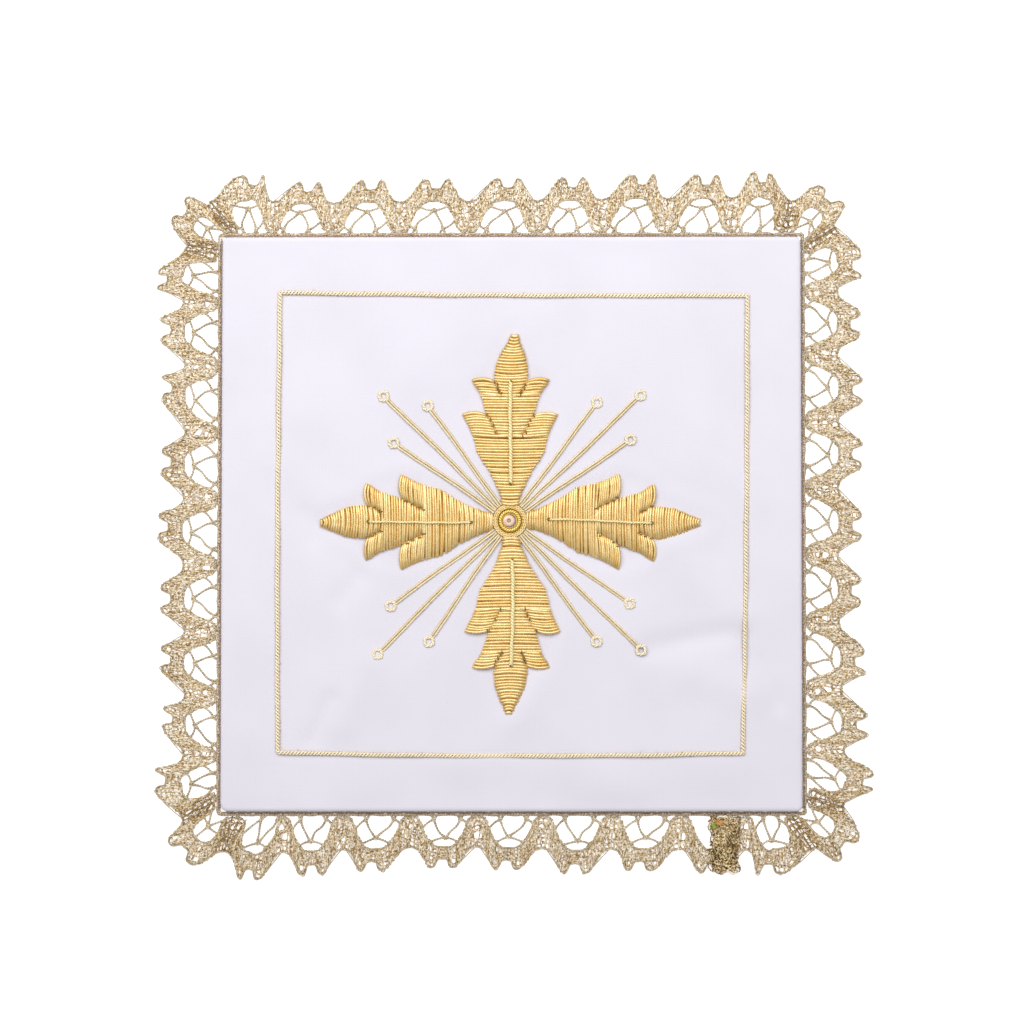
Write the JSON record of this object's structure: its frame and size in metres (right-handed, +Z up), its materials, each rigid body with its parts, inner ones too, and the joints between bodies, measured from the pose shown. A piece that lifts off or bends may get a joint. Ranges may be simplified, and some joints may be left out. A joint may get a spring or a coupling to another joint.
{
  "type": "chalice pall",
  "caption": "Stiff square white cloth cover with a padded gold embroidered leaf cross, a couched gold border cord and a scalloped gold lace edging.",
  "frame": {"origin": "middle of the cloth square's flat underside", "axes": "+Z up, out of the embroidered face; +X to the right of the face and +Y to its top"},
  "size_m": [0.1975, 0.1945, 0.0055],
  "materials": {
    "white_cloth": "closely woven white cloth, matt with a soft sheen",
    "gold_purl": "bright gilt wire purl",
    "pale_gold_cord": "pale gold twisted metal thread",
    "gold_lace": "champagne gold metallic thread, dull gloss",
    "pearl_bead": "pinkish pearl gloss"
  },
  "bodies": {
    "root": {"pall_body": "white_cloth", "lace_edging": "gold_lace", "lace_join": "gold_lace", "border_cord": "pale_gold_cord", "right_inner_leaf": "gold_purl", "right_middle_leaf": "gold_purl", "right_bud": "gold_purl", "right_midrib": "pale_gold_cord", "top_inner_leaf": "gold_purl", "top_middle_leaf": "gold_purl", "top_bud": "gold_purl", "top_midrib": "pale_gold_cord", "left_inner_leaf": "gold_purl", "left_middle_leaf": "gold_purl", "left_bud": "gold_purl", "left_midrib": "pale_gold_cord", "bottom_inner_leaf": "gold_purl", "bottom_middle_leaf": "gold_purl", "bottom_bud": "gold_purl", "bottom_midrib": "pale_gold_cord", "ray_right_upper_low": "gold_purl", "ring_right_upper_low": "pale_gold_cord", "ray_right_upper_mid": "gold_purl", "ring_right_upper_mid": "pale_gold_cord", "ray_right_upper_high": "gold_purl", "ring_right_upper_high": "pale_gold_cord", "ray_left_upper_high": "gold_purl", "ring_left_upper_high": "pale_gold_cord", "ray_left_upper_mid": "gold_purl", "ring_left_upper_mid": "pale_gold_cord", "ray_left_upper_low": "gold_purl", "ring_left_upper_low": "pale_gold_cord", "ray_left_lower_high": "gold_purl", "ring_left_lower_high": "pale_gold_cord", "ray_left_lower_mid": "gold_purl", "ring_left_lower_mid": "pale_gold_cord", "ray_left_lower_low": "gold_purl", "ring_left_lower_low": "pale_gold_cord", "ray_right_lower_low": "gold_purl", "ring_right_lower_low": "pale_gold_cord", "ray_right_lower_mid": "gold_purl", "ring_right_lower_mid": "pale_gold_cord", "ray_right_lower_high": "gold_purl", "ring_right_lower_high": "pale_gold_cord", "roundel_outer_ring": "pale_gold_cord", "roundel_twist_ring": "gold_purl", "centre_bead": "pearl_bead"}
  },
  "joints": []
}
